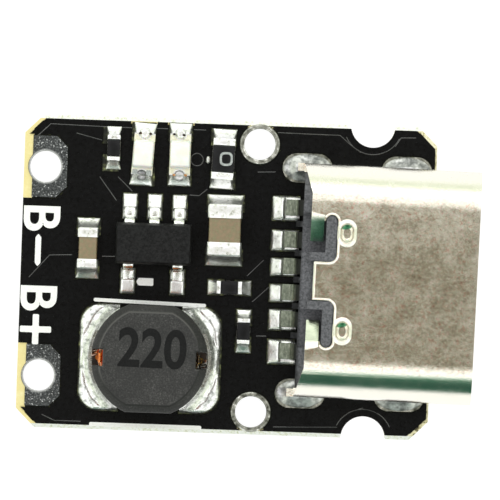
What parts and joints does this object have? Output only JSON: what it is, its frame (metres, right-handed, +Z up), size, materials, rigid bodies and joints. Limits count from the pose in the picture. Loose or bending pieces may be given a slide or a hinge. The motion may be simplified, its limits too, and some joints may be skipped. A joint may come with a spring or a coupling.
{
  "type": "lithium battery charger module",
  "caption": "Small charger circuit board with a USB-C power inlet, a drum inductor, a switching chip, chip parts, indicator lights and plated battery lands.",
  "frame": {"origin": "centre of the board's underside", "axes": "+X along the board towards the mouth of the power inlet, +Y across it towards the minus land, +Z up from the board through the parts"},
  "size_m": [0.0175, 0.012, 0.0044],
  "materials": {
    "laminate": "glass-fibre epoxy laminate, pale yellow",
    "solder_mask": "printed black solder mask, semi-gloss",
    "battery_tin": "grainy hot-air levelled tin over copper",
    "land_tin": "bright tin over copper",
    "shell_steel": "nickel-plated stainless sheet, satin",
    "housing_plastic": "black moulded liquid-crystal polymer",
    "plate_steel": "stamped stainless plate",
    "contact_metal": "tin-plated copper alloy strip",
    "ferrite": "pressed and sintered ferrite, matte",
    "copper_wire": "enamelled copper wire",
    "terminal_tin": "tinned terminal strip",
    "chip_epoxy": "moulded epoxy",
    "lead_tin": "matte tin over copper alloy",
    "capacitor_ceramic": "sintered brown dielectric ceramic",
    "end_tin": "matte tin end caps",
    "alumina": "white alumina",
    "resistor_glaze": "black overcoat",
    "led_substrate": "cream resin board",
    "led_resin": "milky moulded resin",
    "led_chip": "light-emitting chip",
    "solder": "bright reflowed solder"
  },
  "bodies": {
    "root": {"laminate": "laminate", "solder_mask_top": "solder_mask", "solder_mask_bottom": "solder_mask", "battery_minus_land": "battery_tin", "battery_plus_land": "battery_tin", "edge_land_upper": "land_tin", "edge_land_lower": "land_tin", "leg_slot_lands": "land_tin", "component_lands": "land_tin", "usb_shell": "shell_steel", "usb_housing": "housing_plastic", "usb_mid_plate": "plate_steel", "inductor_core": "ferrite", "inductor_winding": "copper_wire", "inductor_terminal_left": "terminal_tin", "inductor_terminal_right": "terminal_tin", "chip_body": "chip_epoxy", "small_capacitor_body": "capacitor_ceramic", "small_capacitor_ends": "end_tin", "large_capacitor_body": "capacitor_ceramic", "large_capacitor_ends": "end_tin", "link_resistor_base": "alumina", "link_resistor_coat": "resistor_glaze", "link_resistor_ends": "end_tin", "upper_resistor_base": "alumina", "upper_resistor_coat": "resistor_glaze", "upper_resistor_ends": "end_tin", "middle_resistor_base": "alumina", "middle_resistor_coat": "resistor_glaze", "middle_resistor_ends": "end_tin", "lower_resistor_base": "alumina", "lower_resistor_coat": "resistor_glaze", "lower_resistor_ends": "end_tin", "left_led_base": "led_substrate", "left_led_lens": "led_resin", "left_led_die": "led_chip", "left_led_ends": "end_tin", "right_led_base": "led_substrate", "right_led_lens": "led_resin", "right_led_die": "led_chip", "right_led_ends": "end_tin", "usb_pin_solder": "solder", "usb_leg_solder": "solder", "inductor_solder": "solder", "chip_solder": "solder", "capacitor_solder": "solder", "resistor_solder": "solder", "led_solder": "solder", "usb_contact_1": "contact_metal", "usb_contact_2": "contact_metal", "usb_contact_3": "contact_metal", "usb_contact_4": "contact_metal", "usb_contact_5": "contact_metal", "usb_contact_6": "contact_metal", "chip_lead_1": "lead_tin", "chip_lead_2": "lead_tin", "chip_lead_3": "lead_tin", "chip_lead_4": "lead_tin", "chip_lead_5": "lead_tin"}
  },
  "joints": []
}
